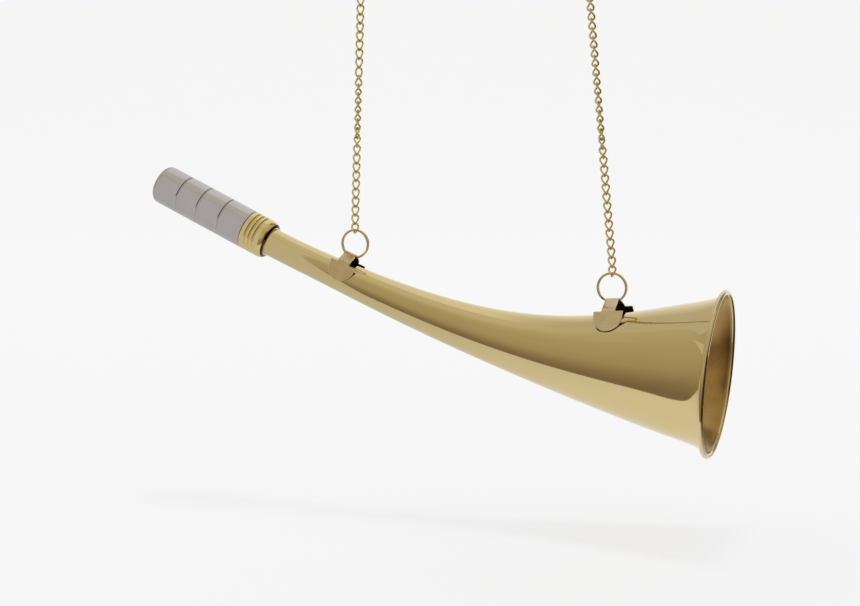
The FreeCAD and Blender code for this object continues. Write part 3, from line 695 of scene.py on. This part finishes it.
def make_chain(name, route, turns):
    """turns(f) gives the chain's slow turn about itself, f from 0 at the split ring to 1 at the hang ring."""
    line = spline_points(name + "_line", route)
    lengths = [0.0]
    for p, q in zip(line, line[1:]):
        lengths.append(lengths[-1] + (q - p).length / MM)
    total = lengths[-1]

    def at(s):
        if s <= 0:
            t = (line[1] - line[0]).normalized()
            return line[0] + t * (s * MM), t
        if s >= total:
            t = (line[-1] - line[-2]).normalized()
            return line[-1] + t * ((s - total) * MM), t
        i = max(0, min(len(line) - 2, int(np.searchsorted(lengths, s)) - 1))
        f = (s - lengths[i]) / max(1e-9, lengths[i + 1] - lengths[i])
        return line[i].lerp(line[i + 1], f), (line[i + 1] - line[i]).normalized()

    d = 2 * WIRE + 0.02
    n = int(round((total + 0.96) / 3.5))
    pitch = (total + 0.96) / n
    half = (pitch + d) / 2
    verts, faces = [], []
    for i in range(n):
        s = -0.74 + half + pitch * i
        c, t = at(s)
        x_ref = Vector((1, 0, 0)) - t * t.x
        x_ref.normalize()
        y_ref = t.cross(x_ref) * 1.0
        f = (i + 0.5) / n
        turn = math.radians(turns(f))
        v, fc = link_ring(half, LINK_HALF_W, -90.0, math.pi / 2 + turn, c, t, x_ref, y_ref)
        base = len(verts)
        verts += v
        faces += [tuple(base + k for k in q) for q in fc]
    return add_object(name, verts, faces), line, total, n, pitch


def eased(points):
    """A smooth curve through (f, degrees) pairs."""
    def g(f):
        for (a, p), (b, q) in zip(points, points[1:]):
            if f <= b:
                w = (f - a) / (b - a)
                w = w * w * (3 - 2 * w) * 0.6 + w * 0.4
                return p + (q - p) * w
        return points[-1][1]
    return g


def make_hang_ring(name, cx, cz, gap_deg):
    centre = bell(cx, 0, cz)
    pts, ups = [], []
    n, half = 120, math.radians(0.9)
    for i in range(n + 1):
        w = math.radians(gap_deg) + half + (2 * math.pi - 2 * half) * i / n
        pts.append(centre + Vector((math.cos(w) * 5.0, 0, math.sin(w) * 5.0)) * MM)
        ups.append(Vector((0, 1, 0)))
    verts, faces = tube_along(pts, circle_section(0.55, 18), ups)
    ob = add_object(name, verts, faces)
    bm = bmesh.new()
    bm.from_mesh(ob.data)
    ends = [f for f in bm.faces if len(f.verts) > 4]
    edges = {e for f in ends for e in f.edges}
    bmesh.ops.bevel(bm, geom=list(edges), offset=0.05 * MM, segments=2, profile=0.5, affect="EDGES", clamp_overlap=True)
    bm.to_mesh(ob.data)
    bm.free()
    for p in ob.data.polygons:
        p.use_smooth = True
    return ob


def make_end_link(name, cx, ring_top):
    half = 0.775 + 1.28
    c = bell(cx, 0, ring_top + 0.775)
    v, f = link_ring(half, LINK_HALF_W, -90.0, math.pi / 2, c, Vector((0, 0, 1)), Vector((1, 0, 0)), Vector((0, 1, 0)), seg=56, around=12)
    return add_object(name, v, f)


CHAINS = {}
for word, x0, z0, x1, z1, turns in (
        ("left", -148.48, 45.52 + 5.60 + 2.91, -145.30, 151.0, eased([(0, 0), (0.28, 0), (0.42, 90), (0.56, 90), (0.66, 180), (0.9, 180), (1.0, 270)])),
        ("right", -41.19, 31.63 + 5.60 + 2.91, -52.30, 151.0, eased([(0, 0), (0.36, 8), (0.48, 80), (0.85, 95), (1.0, 90)]))):
    a, b = bell(x0, 0, z0), bell(x1, 0, z1)
    t = (b - a).normalized()
    # the route's two ends, and a point six diameters in from each, where it hangs straight
    route = [tuple(a), tuple(a + t * 0.0192), tuple(b - t * 0.0192), tuple(b)]
    chain, line, total, n_links, pitch = make_chain("chain_%s_links" % word, route, turns)
    hang = make_hang_ring("hang_ring_%s_wire" % word, -145.30 if word == "left" else -52.30, 156.00, 90.0)
    link = make_end_link("end_link_%s_wire" % word, x0, 51.12 if word == "left" else 37.23)
    finish_piece(hang, "sling", "chain_brass", ["hang_ring_" + word], ring_brass)
    finish_piece(link, "sling", "chain_brass", ["end_link_" + word], chain_brass)
    finish_piece(chain, "sling", "chain_brass", ["chain_" + word], chain_brass)
    CHAINS[word] = (total, n_links, pitch)
print("chains", CHAINS)

# ------------------------------------------------------------------ stud under the bell
su = math.radians(199.0)
STUD_AXIS, STUD_X = Vector((math.sin(su), 0, math.cos(su))), Vector((math.cos(su), 0, -math.sin(su)))
profile = [(0.0, 0.55), (1.98, 0.55), (2.00, 0.62), (2.00, 1.0)]
dome_c, dome_r = 1.80 - 2.90, 2.90
a_edge = math.acos((1.0 - dome_c) / dome_r)
for i in range(1, 15):
    w = a_edge * (1 - i / 14)
    profile.append((dome_r * math.sin(w), dome_c + dome_r * math.cos(w)))
stud = lathe("underside_stud_skin", profile, bell(-32.37, 0, -19.15), STUD_AXIS, STUD_X, 64)
finish_piece(stud, "horn", "turned_brass", ["underside_stud"], turned_brass)

# ------------------------------------------------------------------ carried-over CAD nodes
for node, mat in (("rim_wire", steel), ("reed_block", turned_brass), ("reed_shallot", turned_brass), ("reed_tongue", bronze), ("reed_wedge", turned_brass)):
    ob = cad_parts[node]
    ob.data.materials.clear()
    ob.data.materials.append(mat)

# studio tones: the room by height (0 is straight down, 1 straight up), and its brightness by direction in degrees
WALLS = [(0.0, (0.28, 0.23, 0.19)), (0.30, (0.28, 0.23, 0.18)), (0.413, (0.357, 0.30, 0.22)), (0.50, (0.44, 0.39, 0.29)),
         (0.60, (0.52, 0.48, 0.36)), (0.85, (0.56, 0.53, 0.41)), (0.93, (0.62, 0.60, 0.49)), (0.97, (0.72, 0.71, 0.62)), (1.0, (0.74, 0.73, 0.66))]
AROUND_ROOM = [(-180, 1.0), (-90, 0.95), (-45, 0.93), (-17, 1.0), (-8, 1.25), (20, 1.25), (42, 0.8), (58, 0.16), (75, 0.11), (110, 0.11), (140, 0.7), (180, 1.0)]
PAPER_GLOW = ((0.622, 0.627, 0.664), (0.648, 0.653, 0.682), (0.700, 0.706, 0.724))
PANEL_HIGH = 0.28
REFLECTED_EDGE = 0.108      # how far in front of the origin the reflected sheet begins
REFLECTED_TONES = [(-0.20, (0.68, 0.70, 0.72)), (-0.06, (0.74, 0.76, 0.78)), (0.06, (0.91, 0.93, 0.96)), (0.15, (0.93, 0.94, 0.95)), (0.21, (0.05, 0.04, 0.04))]
BACK_TONES = [(-1.2, (0.66, 0.66, 0.62)), (-0.55, (0.95, 0.96, 0.97)), (0.6, (0.95, 0.96, 0.97)), (1.2, (0.30, 0.29, 0.27))]
PANEL_TONES = [(-0.3, (0.72, 0.72, 0.72)), (0.1, (0.69, 0.71, 0.71)), (1.1, (0.68, 0.71, 0.74))]

# ------------------------------------------------------------------ studio
FLOOR_Z = -0.222
# a swept sheet of pale paper, squared up to the viewing direction; u runs along its front edge, w runs away from it
ALONG_U = Vector((math.cos(CAM_AZ), math.sin(CAM_AZ), 0.0))
ALONG_W = Vector((-math.sin(CAM_AZ), math.cos(CAM_AZ), 0.0))
EDGE = Vector((0.0, -0.1465, 0.0))
paper_rows = [(w, FLOOR_Z) for w in np.linspace(0.0, 1.30, 27)]
for i in range(1, 25):
    w = math.pi / 2 * i / 24
    paper_rows.append((1.30 + 1.0 * math.sin(w), FLOOR_Z + 1.0 - 1.0 * math.cos(w)))
for i in range(1, 9):
    paper_rows.append((2.30, FLOOR_Z + 1.0 + i * 0.25))
us = np.linspace(-3.2, 3.2, 65)
verts, faces = [], []
for w, z in paper_rows:
    for u in us:
        p = EDGE + ALONG_U * float(u) + ALONG_W * float(w)
        verts.append((p.x, p.y, z))
for i in range(len(paper_rows) - 1):
    for j in range(len(us) - 1):
        a = i * len(us) + j
        faces.append((a, a + 1, a + 1 + len(us), a + len(us)))
paper = add_object("studio_paper", verts, faces)
m, nt, bsdf = new_material("studio_paper_white")
co = nt.nodes.new("ShaderNodeTexCoord")
split = nt.nodes.new("ShaderNodeSeparateXYZ")
nt.links.new(co.outputs["Object"], split.inputs["Vector"])
height = nt.nodes.new("ShaderNodeMapRange")
height.inputs["From Min"].default_value = -0.25
height.inputs["From Max"].default_value = 1.2
nt.links.new(split.outputs["Z"], height.inputs["Value"])
lift = ramp(nt, [(0.0, PAPER_GLOW[0]), (0.35, PAPER_GLOW[1]), (1.0, PAPER_GLOW[2])])
nt.links.new(height.outputs["Result"], lift.inputs["Fac"])
nt.links.new(lift.outputs["Color"], bsdf.inputs["Emission Color"])
bsdf.inputs["Base Color"].default_value = (0.40, 0.40, 0.40, 1.0)
bsdf.inputs["Emission Strength"].default_value = 1.0
bsdf.inputs["Roughness"].default_value = 1.0
bsdf.inputs["Specular IOR Level"].default_value = 0.0
paper.data.materials.append(m)
paper.visible_glossy = False


def only_reflected(ob):
    """A card that stands out of the view: it shows in polished metal and nowhere else."""
    ob.visible_camera = ob.visible_diffuse = ob.visible_shadow = False
    ob.visible_transmission = ob.visible_volume_scatter = False


def glow_material(name, axis, stops, low, high, span=None):
    """Plain emission that changes along one direction in the object's own space."""
    m = bpy.data.materials.new(name)
    m.use_nodes = True
    nt = m.node_tree
    nt.nodes.clear()
    out = nt.nodes.new("ShaderNodeOutputMaterial")
    em = nt.nodes.new("ShaderNodeEmission")
    co = nt.nodes.new("ShaderNodeTexCoord")
    dot = nt.nodes.new("ShaderNodeVectorMath")
    dot.operation = "DOT_PRODUCT"
    dot.inputs[1].default_value = axis
    nt.links.new(co.outputs["Object"], dot.inputs[0])
    mr = nt.nodes.new("ShaderNodeMapRange")
    mr.inputs["From Min"].default_value = low
    mr.inputs["From Max"].default_value = high
    nt.links.new(dot.outputs["Value"], mr.inputs["Value"])
    r = ramp(nt, [((p - low) / (high - low), c) for p, c in stops], "LINEAR")
    nt.links.new(mr.outputs["Result"], r.inputs["Fac"])
    nt.links.new(r.outputs["Color"], em.inputs["Color"])
    nt.links.new(em.outputs["Emission"], out.inputs["Surface"])
    return m


def reflected_sheet(name, rows, tones):
    vs, fs = [], []
    for w, z in rows:
        for u in us:
            p = ALONG_W * (w - REFLECTED_EDGE) + ALONG_U * float(u)
            vs.append((p.x, p.y, z))
    for i in range(len(rows) - 1):
        for j in range(len(us) - 1):
            a = i * len(us) + j
            fs.append((a, a + 1, a + 1 + len(us), a + len(us)))
    ob = add_object(name, vs, fs)
    ob.data.materials.append(glow_material(name + "_tone", (1.0, 0.0, 0.0), tones, -1.5, 1.5))
    only_reflected(ob)


over = [(2.30 - 1.60 * i / 8, FLOOR_Z + 3.0 + 0.75 * math.sin(math.pi / 2 * i / 8)) for i in range(1, 9)]
reflected_sheet("reflected_floor", paper_rows[:8], REFLECTED_TONES)
reflected_sheet("reflected_floor_behind", paper_rows[7:27], REFLECTED_TONES[:3] + [(1.2, (0.93, 0.94, 0.95))])
reflected_sheet("reflected_back", paper_rows[26:] + over, BACK_TONES)

# a soft panel to the left of the viewing side, seen only in the mouthpiece and the narrow end of the tube
right_edge, left_edge = Vector((-0.035, -0.100, 0.0)), Vector((-0.270, -0.085, 0.0))
panel_verts, panel_faces = [], []
for i in range(9):
    for j in range(9):
        z = FLOOR_Z + 0.001 + PANEL_HIGH * j / 8
        p = (right_edge + Vector((0.2 * z, 0.0, 0.0))).lerp(left_edge, i / 8)
        panel_verts.append((p.x, p.y, z))
for i in range(8):
    for j in range(8):
        a = i * 9 + j
        panel_faces.append((a, a + 1, a + 10, a + 9))
panel = add_object("left_panel", panel_verts, panel_faces)
panel.data.materials.append(glow_material("left_panel_tone", (0.0, 0.0, 1.0), PANEL_TONES, -0.3, 1.1))
only_reflected(panel)

# pale surroundings for every other view of the horn
bm = bmesh.new()
bmesh.ops.create_uvsphere(bm, u_segments=48, v_segments=24, radius=7.0)
me = bpy.data.meshes.new("pale_room")
bm.to_mesh(me)
bm.free()
room = bpy.data.objects.new("pale_room", me)
bpy.context.scene.collection.objects.link(room)
room_mat = bpy.data.materials.new("pale_room_tone")
room_mat.use_nodes = True
room_mat.node_tree.nodes.clear()
room_glow = room_mat.node_tree.nodes.new("ShaderNodeEmission")
room_glow.inputs["Color"].default_value = (0.930, 0.930, 0.930, 1.0)
room_out = room_mat.node_tree.nodes.new("ShaderNodeOutputMaterial")
room_mat.node_tree.links.new(room_glow.outputs["Emission"], room_out.inputs["Surface"])
room.data.materials.append(room_mat)
room.visible_diffuse = room.visible_glossy = room.visible_shadow = False
room.visible_transmission = room.visible_volume_scatter = False

# the room: a soft bright ceiling, greyer walls that darken downward, and a dark doorway to the right
world = bpy.data.worlds.new("studio")
bpy.context.scene.world = world
world.use_nodes = True
wt = world.node_tree
wt.nodes.clear()
w_out = wt.nodes.new("ShaderNodeOutputWorld")
w_bg = wt.nodes.new("ShaderNodeBackground")
w_co = wt.nodes.new("ShaderNodeTexCoord")
w_sep = wt.nodes.new("ShaderNodeSeparateXYZ")
wt.links.new(w_co.outputs["Generated"], w_sep.inputs["Vector"])
w_map = wt.nodes.new("ShaderNodeMapRange")
w_map.inputs["From Min"].default_value = -1.0
w_map.inputs["From Max"].default_value = 1.0
wt.links.new(w_sep.outputs["Z"], w_map.inputs["Value"])
w_ramp = ramp(wt, WALLS)
wt.links.new(w_map.outputs["Result"], w_ramp.inputs["Fac"])
flip = wt.nodes.new("ShaderNodeMath")
flip.operation = "MULTIPLY"
flip.inputs[1].default_value = -1.0
wt.links.new(w_sep.outputs["Y"], flip.inputs[0])
turn = wt.nodes.new("ShaderNodeMath")
turn.operation = "ARCTAN2"
wt.links.new(w_sep.outputs["X"], turn.inputs[0])
wt.links.new(flip.outputs["Value"], turn.inputs[1])
t_map = wt.nodes.new("ShaderNodeMapRange")
t_map.inputs["From Min"].default_value = -math.pi
t_map.inputs["From Max"].default_value = math.pi
wt.links.new(turn.outputs["Value"], t_map.inputs["Value"])
t_ramp = ramp(wt, [((d + 180.0) / 360.0, (v * 0.5,) * 3) for d, v in AROUND_ROOM])
wt.links.new(t_map.outputs["Result"], t_ramp.inputs["Fac"])
t_full = wt.nodes.new("ShaderNodeMix")
t_full.data_type = "RGBA"
t_full.blend_type = "MIX"
t_full.inputs["B"].default_value = (0.5, 0.5, 0.5, 1.0)
h_map = wt.nodes.new("ShaderNodeMapRange")
h_map.interpolation_type = "SMOOTHSTEP"
h_map.inputs["From Min"].default_value = 0.22
h_map.inputs["From Max"].default_value = 0.50
wt.links.new(w_sep.outputs["Z"], h_map.inputs["Value"])
wt.links.new(h_map.outputs["Result"], t_full.inputs["Factor"])
wt.links.new(t_ramp.outputs["Color"], t_full.inputs["A"])
w_mul = wt.nodes.new("ShaderNodeMix")
w_mul.data_type = "RGBA"
w_mul.blend_type = "MULTIPLY"
w_mul.inputs["Factor"].default_value = 1.0
wt.links.new(w_ramp.outputs["Color"], w_mul.inputs["A"])
wt.links.new(t_full.outputs["Result"], w_mul.inputs["B"])
wt.links.new(w_mul.outputs["Result"], w_bg.inputs["Color"])
w_bg.inputs["Strength"].default_value = 2.0
wt.links.new(w_bg.outputs["Background"], w_out.inputs["Surface"])


def soft_light(name, place, target, size_x, size_y, watts):
    data = bpy.data.lights.new(name, "AREA")
    data.shape = "RECTANGLE"
    data.size, data.size_y = size_x, size_y
    data.energy = watts
    ob = bpy.data.objects.new(name, data)
    bpy.context.scene.collection.objects.link(ob)
    ob.location = place
    ob.rotation_mode = "QUATERNION"
    ob.rotation_quaternion = (Vector(target) - Vector(place)).to_track_quat("-Z", "Y")
    return ob


top = soft_light("soft_top", (0.0, 0.10, 3.4), (0.02, 0.02, -0.2), 0.7, 0.6, 16.0)
top.visible_glossy = False
